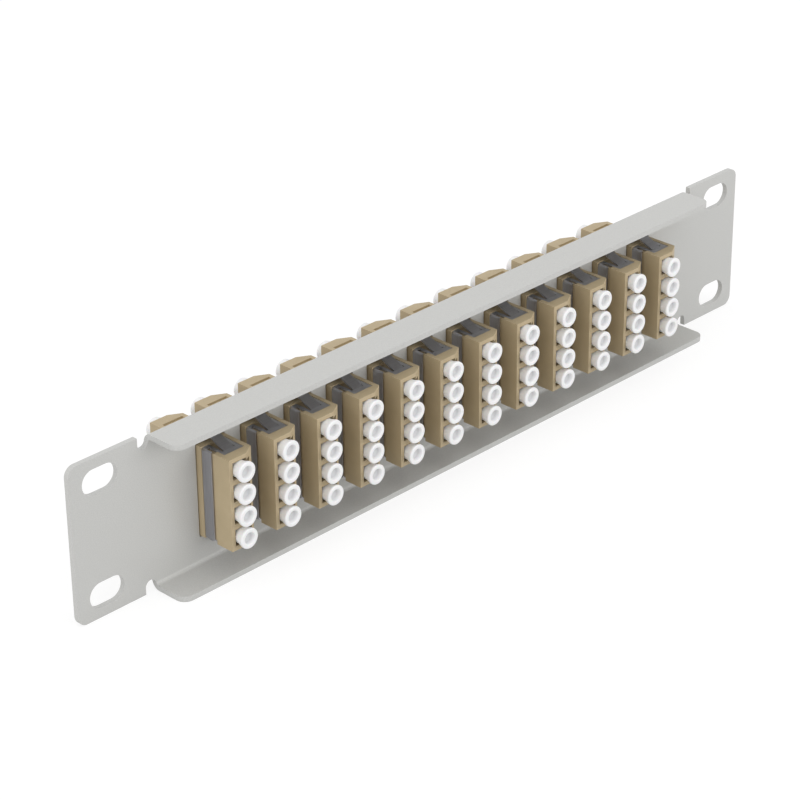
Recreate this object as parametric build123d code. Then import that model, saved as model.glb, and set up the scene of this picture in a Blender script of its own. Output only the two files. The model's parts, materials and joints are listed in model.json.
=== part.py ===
from build123d import *
import os

# Fibre patch panel, one rack unit high and ten inches wide.
# Millimetres, +Z up, the front faces -Y and the lips fold back towards +Y.
# The origin is the centre of the ears' rear face, which bears on the rack's rails.

# Folded sheet panel
panel_length = 254.0
panel_height = 44.0
sheet_thickness = 1.5
bend_inner_radius = 1.0
ear_width = 25.0
lip_reach = 10.4
lip_corner_radius = 3.0
ear_corner_radius = 2.8
relief_width = 3.4
relief_depth = 3.6

# Rack slots in the ears; the inset runs from the panel's end to a slot's centre
slot_inset = 9.5
slot_spacing_z = 31.4
slot_length = 11.0
slot_width = 7.0

# Row of adapters and the cutouts that they snap into
adapter_count = 12
adapter_pitch = 14.95
cutout_gap = 0.35
cutout_corner_radius = 0.5

# One moulded half of an adapter; two alike are welded back to back at their flanges
body_width = 9.2
body_height = 25.8
half_length = 14.7
flange_thickness = 1.2
flange_border = 1.0
collar_length = 1.7
end_block_length = 5.7
end_rim = 3.2
waist_depth = 0.6
recess_left_rim = 1.4
recess_right_rim = 1.2
corner_cut_x = 3.6
corner_cut_y = 2.1

# Ports in the halves
ports_per_adapter = 4
port_pitch = 6.25
port_size = 4.7
port_side_wall = 1.15
keyway_depth = 1.9
keyway_width = 2.9
latch_pocket_width = 4.9
latch_pocket_start = 5.2
latch_pocket_length = 5.4

# Holder inserts between the halves, and the split alignment sleeves in them
holder_plate = 1.0
holder_border = 0.8
holder_fit = 0.05
sleeve_length = 6.6
sleeve_inner_radius = 0.625
sleeve_wall = 0.18
sleeve_slit = 0.3
sleeve_fit = 0.06
sleeve_end_play = 0.1
holder_wall = 0.42
holder_lip = 0.5
ferrule_entry_radius = 0.72

# Dust caps
plug_fit = 0.05
plug_length = 9.0
plug_bore_radius = 1.4
neck_length = 0.4
head_radius = 2.8
head_flare = 1.55
head_length = 2.25
head_edge = 0.2
dimple_radius = 1.65
dimple_floor_radius = 1.3
dimple_depth = 1.3
cap_floor = 1.0

# Sprung sheet clip that holds each adapter against the panel
clip_thickness = 0.4
clip_fit = 0.05
clip_band_width = 3.5
clip_corner_radius = 0.6
clip_bridge = 1.3
clip_root = 1.8
tongue_width = 3.3
tongue_slit = 0.4
tongue_rise = 2.5
tongue_gap = 0.3
tongue_foot = 0.8
tongue_flare = 0.1

# Places that follow from the sizes above
lip_length = panel_length - 2 * ear_width
bend_outer_radius = bend_inner_radius + sheet_thickness
middle_y = -sheet_thickness - flange_thickness
collar_end = flange_thickness + sheet_thickness + collar_length
end_block_start = half_length - end_block_length
port_x = body_width / 2 - port_side_wall - port_size / 2
plug_radius = port_size / 2 - plug_fit
sleeve_outer_radius = sleeve_inner_radius + sleeve_wall
holder_bore_radius = sleeve_outer_radius + sleeve_fit
holder_reach = sleeve_length / 2 + sleeve_end_play + holder_lip
recess_left_x = body_width / 2 - recess_left_rim
recess_right_x = -body_width / 2 + recess_right_rim


def block(x, y, z):
    """A box between the low and high value of each pair"""
    size = [pair[1] - pair[0] for pair in (x, y, z)]
    return Pos(x[0], y[0], z[0]) * Box(*size, align=(Align.MIN, Align.MIN, Align.MIN))


def mirrored_pair(solid, plane=Plane.XY):
    return solid + mirror(solid, about=plane)


def adapter_place(index):
    """Centre of one adapter's cutout, counted from -X"""
    return Pos(adapter_pitch * (index - (adapter_count - 1) / 2), 0, 0)


def port_heights():
    first = -port_pitch * (ports_per_adapter - 1) / 2
    return [first + port_pitch * index for index in range(ports_per_adapter)]


# Channel of the panel: the face with both lips, bent from one sheet
def channel_section():
    outer = Rectangle(
        lip_reach + sheet_thickness, panel_height, align=(Align.MIN, Align.CENTER)
    )
    outer = Pos(-sheet_thickness, 0) * outer
    inner_height = panel_height - 2 * sheet_thickness
    inner = Rectangle(lip_reach, inner_height, align=(Align.MIN, Align.CENTER))
    outer = fillet(outer.vertices().sort_by(Axis.X)[:2], bend_outer_radius)
    inner = fillet(inner.vertices().sort_by(Axis.X)[:2], bend_inner_radius)
    return outer - inner


def panel_plate():
    channel = extrude(Plane.YZ * channel_section(), lip_length / 2, both=True)
    free_corners = channel.edges().filter_by(Axis.Z).group_by(Axis.Y)[-1]
    channel = fillet(free_corners, lip_corner_radius)
    ear = block(
        (panel_length / 2 - ear_width, panel_length / 2),
        (-sheet_thickness, 0),
        (-panel_height / 2, panel_height / 2),
    )
    outer_corners = ear.edges().filter_by(Axis.Y).group_by(Axis.X)[-1]
    ear = fillet(outer_corners, ear_corner_radius)
    plate = channel + mirrored_pair(ear, Plane.YZ)
    return plate - bend_reliefs() - rack_slots() - adapter_cutouts()


# Round-ended notches that part the ears from the bent lips
def bend_reliefs():
    notch_x = lip_length / 2 + relief_width / 2
    straight = relief_depth - relief_width / 2
    low = panel_height / 2 - straight
    notch = block(
        (notch_x - relief_width / 2, notch_x + relief_width / 2),
        (-sheet_thickness, bend_outer_radius),
        (low, panel_height),
    )
    round_end = Pos(notch_x, 0, low) * Rot(90, 0, 0) * Cylinder(relief_width / 2, 4 * sheet_thickness)
    return mirrored_pair(mirrored_pair(notch + round_end), Plane.YZ)


def rack_slots():
    slot = extrude(Plane.XZ * SlotOverall(slot_length, slot_width), 2 * sheet_thickness, both=True)
    slot = Pos(panel_length / 2 - slot_inset, 0, slot_spacing_z / 2) * slot
    return mirrored_pair(mirrored_pair(slot), Plane.YZ)


def adapter_cutouts():
    opening = RectangleRounded(
        body_width + 2 * cutout_gap, body_height + 2 * cutout_gap, cutout_corner_radius
    )
    cutout = extrude(Plane.XZ * opening, 2 * sheet_thickness, both=True)
    return Compound([adapter_place(index) * cutout for index in range(adapter_count)])


# Moulded half, with its welding face at y = 0 and its ports opening towards +Y
def half_shell():
    half_width = body_width / 2
    half_height = body_height / 2
    body = block((-half_width, half_width), (0, half_length), (-half_height, half_height))
    flange = block(
        (-half_width - flange_border, half_width + flange_border),
        (0, flange_thickness),
        (-half_height - flange_border, half_height + flange_border),
    )
    shell = body + flange - clip_seat()
    corner = shell.edges().filter_by(Axis.Z).filter_by_position(Axis.Y, half_length, half_length)
    return chamfer(corner.sort_by(Axis.X)[0], corner_cut_x, corner_cut_y, reference=end_face(shell))


def end_face(shell):
    return shell.faces().sort_by(Axis.Y)[-1]


# Waist on three sides that the clip sits in, and its deeper seats at top and bottom
def clip_seat():
    half_width = body_width / 2
    half_height = body_height / 2
    side = block(
        (half_width - waist_depth, half_width),
        (collar_end, end_block_start),
        (-half_height, half_height),
    )
    top = block(
        (recess_right_x, half_width),
        (collar_end, end_block_start),
        (half_height - waist_depth, half_height),
    )
    top_seat = block(
        (recess_right_x, recess_left_x),
        (collar_end, half_length - end_rim),
        (half_height - waist_depth, half_height),
    )
    return side + mirrored_pair(top + top_seat)


# One port: a square bore through the half, with a keyway and pocket for the connector's latch
def port_cavity():
    bore = block(
        (-port_size / 2, port_size / 2), (0, half_length), (-port_size / 2, port_size / 2)
    )
    latch_x = (-port_size / 2 - keyway_depth, -port_size / 2)
    keyway = block(
        latch_x, (latch_pocket_start, half_length), (-keyway_width / 2, keyway_width / 2)
    )
    pocket = block(
        latch_x,
        (latch_pocket_start, latch_pocket_start + latch_pocket_length),
        (-latch_pocket_width / 2, latch_pocket_width / 2),
    )
    return bore + keyway + pocket


def along_y(radius, start, end):
    """A round bar about the Y axis between two places along it"""
    bar = Cylinder(radius, end - start, align=(Align.CENTER, Align.CENTER, Align.MIN))
    return Pos(0, start, 0) * Rot(-90, 0, 0) * bar


def holder_outline(margin):
    """The insert's plate, which closes all four bores at the welding face"""
    reach_x = port_size / 2 + holder_border + margin
    reach_z = port_heights()[-1] + reach_x
    return block((port_x - reach_x, port_x + reach_x), (0, holder_plate), (-reach_z, reach_z))


def port_places():
    return [Pos(port_x, 0, z) for z in port_heights()]


def housing_half():
    ports = [place * port_cavity() for place in port_places()]
    return half_shell() - ports - holder_outline(holder_fit)


def sleeve_bore():
    wide = along_y(holder_bore_radius, 0, sleeve_length / 2 + sleeve_end_play)
    entry = along_y(ferrule_entry_radius, 0, holder_reach)
    return wide + entry


# Insert of one half: a plate with a lipped tube in the middle of each port
def sleeve_holder():
    tube = along_y(holder_bore_radius + holder_wall, 0, holder_reach)
    insert = holder_outline(0) + [place * tube for place in port_places()]
    return insert - [place * sleeve_bore() for place in port_places()]


# Split alignment sleeve, floating in the holders of both halves
def alignment_sleeve():
    tube = along_y(sleeve_outer_radius, -sleeve_length / 2, sleeve_length / 2)
    tube = tube - along_y(sleeve_inner_radius, -sleeve_length, sleeve_length)
    slit = block(
        (0, 2 * sleeve_outer_radius), (-sleeve_length, sleeve_length), (-sleeve_slit / 2, sleeve_slit / 2)
    )
    return tube - slit


# Dust cap, turned about the Y axis, with y = 0 where it meets the end of the adapter
def dust_cap():
    head_back = neck_length
    cap_top = neck_length + head_length
    floor_inner = cap_top - dimple_depth - cap_floor
    outline = Polyline(
        (0, floor_inner),
        (plug_bore_radius, floor_inner),
        (plug_bore_radius, -plug_length),
        (plug_radius, -plug_length),
        (plug_radius, head_back),
        (head_radius, head_back + head_flare),
        (head_radius, cap_top - head_edge),
        (head_radius - head_edge, cap_top),
        (dimple_radius, cap_top),
        (dimple_floor_radius, cap_top - dimple_depth),
        (0, cap_top - dimple_depth),
        close=True,
    )
    return revolve(make_face(outline), Axis.Y)


def cap_row():
    return [place * Pos(0, half_length, 0) * dust_cap() for place in port_places()]


# Sprung clip: a spine down the +X side, bent over at each end into an arm with a raised tongue
def retaining_clip():
    seat_x = body_width / 2 - waist_depth + clip_fit
    seat_z = body_height / 2 - waist_depth + clip_fit
    band_start = collar_end + clip_fit
    band_end = band_start + clip_band_width
    arm_end = half_length - end_rim - 2 * clip_fit
    spine = block((seat_x, seat_x + clip_thickness), (band_start, band_end), (0, seat_z + clip_thickness))
    arm = block(
        (recess_right_x + clip_fit, seat_x + clip_thickness),
        (band_start, band_end),
        (seat_z, seat_z + clip_thickness),
    )
    pad = block(
        (recess_right_x + clip_fit, recess_left_x - clip_fit),
        (band_start, arm_end),
        (seat_z, seat_z + clip_thickness),
    )
    half_clip = spine + arm + pad
    outer_bend = half_clip.edges().filter_by(Axis.Y).sort_by_distance(
        (seat_x + clip_thickness, band_start, seat_z + clip_thickness)
    )[0]
    half_clip = fillet(outer_bend, clip_corner_radius)
    notch = block(
        (recess_left_x - clip_fit, seat_x - clip_fit),
        (band_start + clip_bridge, band_end),
        (seat_z, seat_z + clip_thickness),
    )
    window = block(
        (-tongue_width / 2 - tongue_slit, tongue_width / 2 + tongue_slit),
        (band_start, arm_end - clip_root),
        (seat_z, seat_z + clip_thickness),
    )
    return mirrored_pair(half_clip - notch - window + clip_tongue(seat_z, arm_end))


# Tongue bent up out of the arm, its free end just behind the panel's rear face
def clip_tongue(seat_z, arm_end):
    middle_z = seat_z + clip_thickness / 2
    root_y = arm_end - clip_root
    tip_y = flange_thickness + sheet_thickness + tongue_gap
    tip_z = middle_z + tongue_rise
    line = Polyline(
        (root_y + clip_root / 2, middle_z),
        (root_y, middle_z),
        (tip_y + tongue_foot, tip_z - tongue_flare),
        (tip_y, tip_z),
    )
    strip = trace(line, clip_thickness)
    return extrude(Plane.YZ * strip, tongue_width / 2, both=True)


# Adapter frames: both halves share the welding plane just in front of the panel
def rear_frame(index):
    return adapter_place(index) * Pos(0, middle_y, 0)


def front_frame(index):
    return rear_frame(index) * Rot(180, 0, 0)


def write_node(name, solids):
    solids = solids if isinstance(solids, list) else [solids]
    pieces = [solid for shape in solids for solid in shape.solids()]
    shape = pieces[0] if len(pieces) == 1 else Compound(children=pieces)
    export_step(shape, f"parts/{name}.step")


def main():
    os.makedirs("parts", exist_ok=True)
    write_node("panel_plate", panel_plate())
    half = housing_half()
    holder = sleeve_holder()
    caps = cap_row()
    clip = retaining_clip()
    sleeves = [place * alignment_sleeve() for place in port_places()]
    for index in range(adapter_count):
        number = f"{index + 1:02d}"
        rear = rear_frame(index)
        front = front_frame(index)
        write_node(f"adapter_{number}_rear_half", rear * half)
        write_node(f"adapter_{number}_front_half", front * half)
        write_node(f"rear_caps_{number}", [rear * cap for cap in caps])
        write_node(f"front_caps_{number}", [front * cap for cap in caps])
    rears = [rear_frame(index) for index in range(adapter_count)]
    fronts = [front_frame(index) for index in range(adapter_count)]
    write_node("retaining_clips", [frame * clip for frame in rears])
    write_node("sleeve_holders", [frame * holder for frame in rears + fronts])
    write_node("alignment_sleeves", [frame * sleeve for frame in rears for sleeve in sleeves])


main()
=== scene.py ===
import json
import math

import bmesh
import bpy
from mathutils import Euler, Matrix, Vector


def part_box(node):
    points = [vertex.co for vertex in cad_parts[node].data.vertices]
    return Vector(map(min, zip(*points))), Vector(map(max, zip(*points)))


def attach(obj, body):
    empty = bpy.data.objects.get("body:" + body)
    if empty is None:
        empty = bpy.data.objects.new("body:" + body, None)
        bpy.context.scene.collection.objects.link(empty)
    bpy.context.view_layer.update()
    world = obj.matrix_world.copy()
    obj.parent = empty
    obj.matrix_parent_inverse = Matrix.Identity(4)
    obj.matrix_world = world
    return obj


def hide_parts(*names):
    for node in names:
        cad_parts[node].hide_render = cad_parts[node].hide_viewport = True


mm = 0.001
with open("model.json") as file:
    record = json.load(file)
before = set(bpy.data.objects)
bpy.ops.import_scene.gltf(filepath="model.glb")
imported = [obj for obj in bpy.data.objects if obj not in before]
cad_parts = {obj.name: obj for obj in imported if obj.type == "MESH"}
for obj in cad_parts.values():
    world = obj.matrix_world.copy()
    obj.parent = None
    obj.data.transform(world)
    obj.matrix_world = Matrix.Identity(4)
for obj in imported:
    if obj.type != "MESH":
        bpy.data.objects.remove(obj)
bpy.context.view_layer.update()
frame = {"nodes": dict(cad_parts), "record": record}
nodes = frame["nodes"]
print("frame loaded:", len(nodes), "CAD nodes")

noiseSpan = (0.3, 0.7)  # most of a noise texture's values lie in here


def addNode(tree, kind, inputs=None, **settings):
    node = tree.nodes.new(kind)
    for name, value in settings.items():
        setattr(node, name, value)
    for name, value in (inputs or {}).items():
        if isinstance(value, bpy.types.NodeSocket):
            tree.links.new(value, node.inputs[name])
        else:
            node.inputs[name].default_value = value
    return node


def newMaterial(name):
    material = bpy.data.materials.new(name)
    material.use_nodes = True
    tree = material.node_tree
    tree.nodes.clear()
    shader = addNode(tree, "ShaderNodeBsdfPrincipled")
    addNode(tree, "ShaderNodeOutputMaterial", {"Surface": shader.outputs["BSDF"]})
    place = addNode(tree, "ShaderNodeTexCoord").outputs["Object"]
    return material, tree, shader, place


def noise(tree, place, size, detail=3):
    inputs = {"Vector": place, "Scale": 1 / size, "Detail": detail}
    return addNode(tree, "ShaderNodeTexNoise", inputs).outputs["Fac"]


def remap(tree, value, low, high):
    node = addNode(tree, "ShaderNodeMapRange", {
        "Value": value, "From Min": noiseSpan[0], "From Max": noiseSpan[1], "To Min": low, "To Max": high,
    })
    return node.outputs["Result"]


def mixColours(tree, factor, first, second):
    inputs = {0: factor}
    for index, colour in ((6, first), (7, second)):  # the sockets that take colours
        inputs[index] = colour if isinstance(colour, bpy.types.NodeSocket) else (*colour, 1)
    return addNode(tree, "ShaderNodeMix", inputs, data_type="RGBA").outputs[2]


def bump(tree, height, strength, distance):
    inputs = {"Height": height, "Strength": strength, "Distance": distance}
    return addNode(tree, "ShaderNodeBump", inputs).outputs["Normal"]


powderCoat = {
    "colour": (0.545, 0.545, 0.528),
    "darkGrain": (0.495, 0.495, 0.480),
    "lightGrain": (0.590, 0.590, 0.572),
    "grainSize": 0.30 * mm,
    "cloudSize": 22 * mm,
    "cloudMix": (0.25, 0.45),  # how far the even colour covers the grain
    "peelSize": 0.55 * mm,
    "peelHeight": 0.012 * mm,
    "peelStrength": 0.6,
    "roughness": (0.34, 0.46),
    "refraction": 1.5,
}


def makePowderCoat():
    material, tree, shader, place = newMaterial("powderCoatedSheet")
    grain = noise(tree, place, powderCoat["grainSize"], detail=2)
    cloud = noise(tree, place, powderCoat["cloudSize"], detail=2)
    peel = noise(tree, place, powderCoat["peelSize"], detail=2)
    speckled = mixColours(tree, remap(tree, grain, 0, 1), powderCoat["darkGrain"], powderCoat["lightGrain"])
    colour = mixColours(tree, remap(tree, cloud, *powderCoat["cloudMix"]), speckled, powderCoat["colour"])
    normal = bump(tree, peel, powderCoat["peelStrength"], powderCoat["peelHeight"])
    tree.links.new(colour, shader.inputs["Base Color"])
    tree.links.new(remap(tree, grain, *powderCoat["roughness"]), shader.inputs["Roughness"])
    tree.links.new(normal, shader.inputs["Normal"])
    shader.inputs["IOR"].default_value = powderCoat["refraction"]
    return material


beigePlastic = {
    "colour": (0.500, 0.402, 0.252),
    "deep": (0.462, 0.370, 0.228),
    "cloudSize": 6 * mm,
    "etchSize": 0.12 * mm,
    "etchHeight": 0.004 * mm,
    "etchStrength": 0.5,
    "roughness": (0.46, 0.56),
    "refraction": 1.46,
}


def makeBeigePlastic():
    material, tree, shader, place = newMaterial("mouldedBeige")
    cloud = noise(tree, place, beigePlastic["cloudSize"])
    etch = noise(tree, place, beigePlastic["etchSize"], detail=2)
    colour = mixColours(tree, remap(tree, cloud, 0, 1), beigePlastic["deep"], beigePlastic["colour"])
    normal = bump(tree, etch, beigePlastic["etchStrength"], beigePlastic["etchHeight"])
    tree.links.new(colour, shader.inputs["Base Color"])
    tree.links.new(remap(tree, etch, *beigePlastic["roughness"]), shader.inputs["Roughness"])
    tree.links.new(normal, shader.inputs["Normal"])
    shader.inputs["IOR"].default_value = beigePlastic["refraction"]
    return material


clipSteel = {
    "colour": (0.500, 0.500, 0.535),
    "rolled": (0.410, 0.410, 0.440),
    "lineSize": (6 * mm, 0.12 * mm, 6 * mm),  # fine across the rolling direction
    "lineHeight": 0.003 * mm,
    "lineStrength": 0.4,
    "roughness": (0.30, 0.42),
}


def makeClipSteel():
    material, tree, shader, place = newMaterial("rolledSpringSteel")
    stretch = [1 / size for size in clipSteel["lineSize"]]
    lines = addNode(tree, "ShaderNodeMapping", {"Vector": place, "Scale": stretch}).outputs["Vector"]
    rolled = noise(tree, lines, 1)
    colour = mixColours(tree, remap(tree, rolled, 0, 1), clipSteel["rolled"], clipSteel["colour"])
    normal = bump(tree, rolled, clipSteel["lineStrength"], clipSteel["lineHeight"])
    tree.links.new(colour, shader.inputs["Base Color"])
    tree.links.new(remap(tree, rolled, *clipSteel["roughness"]), shader.inputs["Roughness"])
    tree.links.new(normal, shader.inputs["Normal"])
    shader.inputs["Metallic"].default_value = 1
    return material


whiteCap = {
    "colour": (0.91, 0.91, 0.91),
    "milky": (0.88, 0.88, 0.89),
    "paintedDimpleShade": (0.68, 0.68, 0.69),  # painted shade of the recessed dimple floor, also standing for the dark bore behind the thin floor
    "cloudSize": 2.5 * mm,
    "etchSize": 0.15 * mm,
    "etchHeight": 0.003 * mm,
    "etchStrength": 0.4,
    "roughness": (0.38, 0.48),
    "softness": 0.04,
    "softDepth": 0.4 * mm,
}


def makeWhiteCap():
    material, tree, shader, place = newMaterial("softWhiteCap")
    cloud = noise(tree, place, whiteCap["cloudSize"])
    etch = noise(tree, place, whiteCap["etchSize"], detail=2)
    shadedDimple = addNode(tree, "ShaderNodeAttribute", attribute_name="paintedDimpleShade").outputs["Fac"]
    bodyTone = mixColours(tree, remap(tree, cloud, 0, 1), whiteCap["milky"], whiteCap["colour"])
    # painted shade: the dimple floor takes a darker colour than the rest of the cap
    colour = mixColours(tree, shadedDimple, bodyTone, whiteCap["paintedDimpleShade"])
    normal = bump(tree, etch, whiteCap["etchStrength"], whiteCap["etchHeight"])
    tree.links.new(colour, shader.inputs["Base Color"])
    tree.links.new(remap(tree, etch, *whiteCap["roughness"]), shader.inputs["Roughness"])
    tree.links.new(normal, shader.inputs["Normal"])
    shader.inputs["Subsurface Weight"].default_value = whiteCap["softness"]
    shader.inputs["Subsurface Scale"].default_value = whiteCap["softDepth"]
    return material


sleeveCeramic = {
    "colour": (0.88, 0.87, 0.83),
    "shade": (0.84, 0.82, 0.77),
    "cloudSize": 1.2 * mm,
    "roughness": (0.10, 0.18),
}


def makeSleeveCeramic():
    material, tree, shader, place = newMaterial("polishedCeramic")
    cloud = noise(tree, place, sleeveCeramic["cloudSize"])
    colour = mixColours(tree, remap(tree, cloud, 0, 1), sleeveCeramic["shade"], sleeveCeramic["colour"])
    tree.links.new(colour, shader.inputs["Base Color"])
    tree.links.new(remap(tree, cloud, *sleeveCeramic["roughness"]), shader.inputs["Roughness"])
    return material


finishes = {
    "powder_coat": makePowderCoat(),
    "beige_housing": makeBeigePlastic(),
    "clip_steel": makeClipSteel(),
    "white_cap": makeWhiteCap(),
    "sleeve_ceramic": makeSleeveCeramic(),
}
print("materials made:", len(finishes))


edgeRounds = {
    "powder_coat": {"width": 0.55 * mm, "segments": 3},
    "beige_housing": {"width": 0.14 * mm, "segments": 2},
    "clip_steel": {"width": 0.06 * mm, "segments": 1},
}
edgeWeld = 0.001 * mm
sharpestLeft = 35  # degrees, and edges that turn more are rounded


def softenEdges(piece, width, segments):
    weld = piece.modifiers.new("weld", "WELD")
    weld.merge_threshold = edgeWeld
    bevel = piece.modifiers.new("roundedEdges", "BEVEL")
    bevel.width = width
    bevel.segments = segments
    bevel.limit_method = "ANGLE"
    bevel.angle_limit = math.radians(sharpestLeft)
    bevel.harden_normals = False
    smooth = piece.modifiers.new("evenShading", "WEIGHTED_NORMAL")
    smooth.keep_sharp = True


for entry in frame["record"]["subparts"]:
    piece = nodes[entry["node"]]
    slotName = entry["material_slot"]
    piece.data.materials.clear()
    piece.data.materials.append(finishes[slotName])
    if slotName in edgeRounds:
        softenEdges(piece, **edgeRounds[slotName])
print("CAD nodes finished")


dustCap = {  # one turned cap, repeated down each end of an adapter, with its lengths in mm
    "plugRadius": 2.30, "boreRadius": 1.40, "plugLength": 9.0, "plugChamfer": 0.2,
    "neckLength": 0.4, "headRadius": 2.80, "headFlare": 1.55, "headLength": 2.25,
    "headRound": 0.30, "rimRound": 0.22, "rimTurn": 75,
    "dimpleRadius": 1.65, "dimpleFloor": 1.30, "dimpleDepth": 1.3, "floor": 1.0,
    "floorRoundWidth": 0.15, "floorRoundHeight": 0.12,
    "sides": 32, "headSteps": 4, "rimSteps": 3, "perEnd": 4, "pitch": 6.25,
}
capWeld = 0.0005 * mm
capSlack = 0.01  # share by which a vertex may miss the dimple's floor


def arcPoints(corner, radius, start, turn, steps):
    angles = [math.radians(start + turn * step / steps) for step in range(steps + 1)]
    return [(corner[0] + radius * math.cos(a), corner[1] + radius * math.sin(a)) for a in angles]


def capProfile(cap):
    plugRadius, plugEnd, chamfer = cap["plugRadius"], -cap["plugLength"], cap["plugChamfer"]
    top = cap["neckLength"] + cap["headLength"]
    dimple = top - cap["dimpleDepth"]
    inner = dimple - cap["floor"]
    headSide, headRound, rimRound = cap["headRadius"], cap["headRound"], cap["rimRound"]
    points = [(0, inner), (cap["boreRadius"], inner), (cap["boreRadius"], plugEnd)]
    points += [(plugRadius - chamfer, plugEnd), (plugRadius, chamfer + plugEnd)]
    points += [(plugRadius, cap["neckLength"]), (headSide, cap["neckLength"] + cap["headFlare"])]
    points += arcPoints((headSide - headRound, top - headRound), headRound, 0, 90, cap["headSteps"])
    rim = (cap["dimpleRadius"] + rimRound, top - rimRound)
    points += arcPoints(rim, rimRound, 90, cap["rimTurn"], cap["rimSteps"])
    points += [(cap["dimpleFloor"], dimple + cap["floorRoundHeight"])]
    points += [(cap["dimpleFloor"] - cap["floorRoundWidth"], dimple), (0, dimple)]
    return points


def turnedCap(cap):
    mesh = bpy.data.meshes.new("turnedCap")
    shape = bmesh.new()
    last = None
    for radius, height in capProfile(cap):
        vert = shape.verts.new((radius * mm, height * mm, 0))
        if last:
            shape.edges.new((last, vert))
        last = vert
    bmesh.ops.spin(
        shape, geom=shape.verts[:] + shape.edges[:], cent=(0, 0, 0), axis=(0, 1, 0),
        angle=2 * math.pi, steps=cap["sides"], use_merge=False,
    )
    bmesh.ops.remove_doubles(shape, verts=shape.verts[:], dist=capWeld)
    bmesh.ops.recalc_face_normals(shape, faces=shape.faces[:])
    # marks the dimple floor's vertices, which get the painted shade
    shadedDimple = shape.verts.layers.float.new("paintedDimpleShade")
    lowest = (1 - capSlack) * (cap["neckLength"] + cap["headLength"] - cap["dimpleDepth"]) * mm
    widest = (1 + capSlack) * cap["dimpleFloor"] * mm
    for vert in shape.verts:
        vert[shadedDimple] = float(vert.co.y > lowest and math.hypot(vert.co.x, vert.co.z) < widest)
    for face in shape.faces:
        face.smooth = True
    shape.to_mesh(mesh)
    shape.free()
    return bpy.data.objects.new("turnedCap", mesh)


def capRowTree():
    tree = bpy.data.node_groups.new("capRow", "GeometryNodeTree")
    ports = tree.interface
    ports.new_socket("Geometry", in_out="OUTPUT", socket_type="NodeSocketGeometry")
    for name, kind in (
        ("Cap", "NodeSocketObject"), ("Count", "NodeSocketInt"), ("Pitch", "NodeSocketFloat"),
        ("Middle", "NodeSocketVector"), ("Half Turn", "NodeSocketFloat"), ("Finish", "NodeSocketMaterial"),
    ):
        ports.new_socket(name, in_out="INPUT", socket_type=kind)
    given = addNode(tree, "NodeGroupInput").outputs
    cap = addNode(tree, "GeometryNodeObjectInfo", {"Object": given["Cap"]}, transform_space="ORIGINAL")
    span = addNode(tree, "ShaderNodeMath", {0: given["Count"], 1: 1.0}, operation="SUBTRACT")
    half = addNode(tree, "ShaderNodeMath", {0: span.outputs[0], 1: -0.5}, operation="MULTIPLY")
    low = addNode(tree, "ShaderNodeMath", {0: half.outputs[0], 1: given["Pitch"]}, operation="MULTIPLY")
    start = addNode(tree, "ShaderNodeCombineXYZ", {"Z": low.outputs[0]})
    step = addNode(tree, "ShaderNodeCombineXYZ", {"Z": given["Pitch"]})
    line = addNode(tree, "GeometryNodeMeshLine", {
        "Count": given["Count"], "Start Location": start.outputs[0], "Offset": step.outputs[0],
    })
    turn = addNode(tree, "ShaderNodeCombineXYZ", {"X": given["Half Turn"]})
    caps = addNode(tree, "GeometryNodeInstanceOnPoints", {
        "Points": line.outputs["Mesh"], "Instance": cap.outputs["Geometry"], "Rotation": turn.outputs[0],
    })
    moved = addNode(tree, "GeometryNodeTransform", {
        "Geometry": caps.outputs["Instances"], "Translation": given["Middle"],
    })
    solid = addNode(tree, "GeometryNodeRealizeInstances", {"Geometry": moved.outputs["Geometry"]})
    painted = addNode(tree, "GeometryNodeSetMaterial", {
        "Geometry": solid.outputs["Geometry"], "Material": given["Finish"],
    })
    addNode(tree, "NodeGroupOutput", {"Geometry": painted.outputs["Geometry"]})
    return tree


def bakeNodes(name, tree, values):
    piece = bpy.data.objects.new(name, bpy.data.meshes.new(name))
    bpy.context.scene.collection.objects.link(piece)
    modifier = piece.modifiers.new(name, "NODES")
    modifier.node_group = tree
    for socket in tree.interface.items_tree:
        if socket.in_out == "INPUT":
            modifier[socket.identifier] = values[socket.name]
    view = bpy.context.evaluated_depsgraph_get()
    made = bpy.data.meshes.new_from_object(piece.evaluated_get(view))
    while made.materials[0] is None:
        made.materials.pop(index=0)  # the empty starting mesh brings a blank slot
    piece.modifiers.clear()
    piece.data = made
    return piece


capShape = turnedCap(dustCap)
capTree = capRowTree()
headTop = (dustCap["neckLength"] + dustCap["headLength"]) * mm
for node in sorted(nodes):
    if "_caps_" not in node:
        continue
    end, number = node.split("_caps_")
    low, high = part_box(node)
    rear = end == "rear"
    portY = high.y - headTop if rear else low.y + headTop
    row = bakeNodes(end + "DustCaps" + number, capTree, {
        "Cap": capShape,
        "Count": dustCap["perEnd"],
        "Pitch": dustCap["pitch"] * mm,
        "Middle": ((low.x + high.x) / 2, portY, (low.z + high.z) / 2),
        "Half Turn": 0.0 if rear else math.pi,
        "Finish": finishes["white_cap"],
    })
    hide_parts(node)
    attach(row, f"{end}_cap_row_{number}")
bpy.data.objects.remove(capShape)
print("dust caps placed")


studio = {
    "floorSize": 8.0,
    "floorHeight": -22 * mm,
    "floorColour": (0.66, 0.66, 0.66),
    "seenDiffuse": 0.28,
    "seenGlow": 0.76,
    "worldLight": 0.77,
    "seenWorld": 1.0,
}
lamps = {
    "overhead": {"place": (-0.05, 0.12, 0.98), "size": 0.9, "power": 1.3},
    "cameraSide": {"place": (0.95, 0.15, 0.40), "size": 0.8, "power": 2.7},
    "behindRow": {"place": (-0.32, 0.92, 0.30), "size": 0.7, "power": 2.7},
}
camera = {
    "lens": 121.795,
    "place": (0.4693256, 0.4484655, 0.3297132),
    "turn": (62.5646, 0.5386, 134.3558),
    "nearest": 10 * mm,
}


def seenDirectly(tree):
    path = addNode(tree, "ShaderNodeLightPath").outputs
    seen = path["Is Camera Ray"]
    for other in ("Is Glossy Ray", "Is Transmission Ray"):
        seen = addNode(tree, "ShaderNodeMath", {0: seen, 1: path[other]}, operation="MAXIMUM").outputs[0]
    return seen


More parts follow.
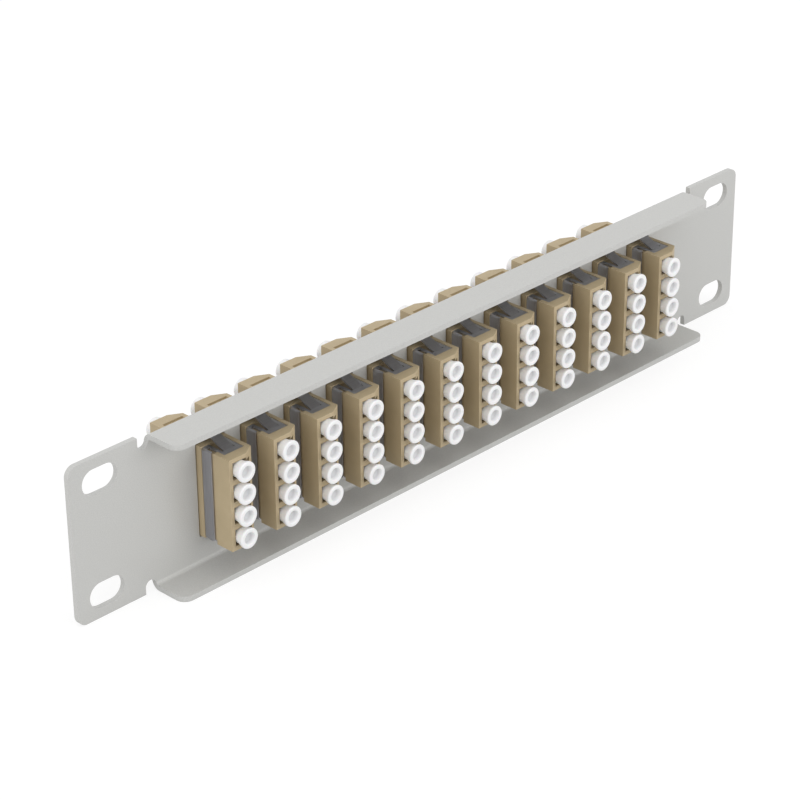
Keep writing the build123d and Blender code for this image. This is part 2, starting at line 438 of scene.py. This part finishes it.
def makeFloor():
    half = studio["floorSize"] / 2
    height = studio["floorHeight"]
    mesh = bpy.data.meshes.new("floor")
    corners = [(-half, -half, height), (half, -half, height), (half, half, height), (-half, half, height)]
    mesh.from_pydata(corners, [], [(0, 1, 2, 3)])
    floor = bpy.data.objects.new("floor", mesh)
    bpy.context.scene.collection.objects.link(floor)
    material = bpy.data.materials.new("paleFloor")
    material.use_nodes = True
    tree = material.node_tree
    tree.nodes.clear()
    seen = (studio["seenDiffuse"],) * 3
    paper = addNode(tree, "ShaderNodeBsdfDiffuse", {"Color": (*studio["floorColour"], 1)})
    shadowed = addNode(tree, "ShaderNodeBsdfDiffuse", {"Color": (*seen, 1)})
    glow = addNode(tree, "ShaderNodeEmission", {"Strength": studio["seenGlow"]})
    white = addNode(tree, "ShaderNodeAddShader", {0: shadowed.outputs[0], 1: glow.outputs[0]})
    either = addNode(tree, "ShaderNodeMixShader", {
        0: seenDirectly(tree), 1: paper.outputs[0], 2: white.outputs[0],
    })
    addNode(tree, "ShaderNodeOutputMaterial", {"Surface": either.outputs[0]})
    mesh.materials.append(material)


def makeWorld():
    world = bpy.data.worlds.new("studio")
    bpy.context.scene.world = world
    world.use_nodes = True
    tree = world.node_tree
    tree.nodes.clear()
    strength = addNode(tree, "ShaderNodeMapRange", {
        "Value": seenDirectly(tree), "To Min": studio["worldLight"], "To Max": studio["seenWorld"],
    })
    sky = addNode(tree, "ShaderNodeBackground", {
        "Color": (1, 1, 1, 1), "Strength": strength.outputs["Result"],
    })
    addNode(tree, "ShaderNodeOutputWorld", {"Surface": sky.outputs[0]})


def makeLamp(name, place, size, power):
    light = bpy.data.lights.new(name, "AREA")
    light.size = size
    light.energy = power
    lamp = bpy.data.objects.new(name, light)
    lamp.location = place
    lamp.rotation_euler = Vector(place).to_track_quat("Z", "Y").to_euler()
    bpy.context.scene.collection.objects.link(lamp)


def makeCamera():
    eye = bpy.data.objects.new("camera", bpy.data.cameras.new("camera"))
    eye.data.lens = camera["lens"]
    eye.data.clip_start = camera["nearest"]
    eye.location = camera["place"]
    eye.rotation_euler = Euler([math.radians(angle) for angle in camera["turn"]])
    bpy.context.scene.collection.objects.link(eye)
    bpy.context.scene.camera = eye


makeFloor()
makeWorld()
for name, values in lamps.items():
    makeLamp(name, **values)
makeCamera()
bpy.context.scene.view_settings.view_transform = "Standard"
print("studio ready")
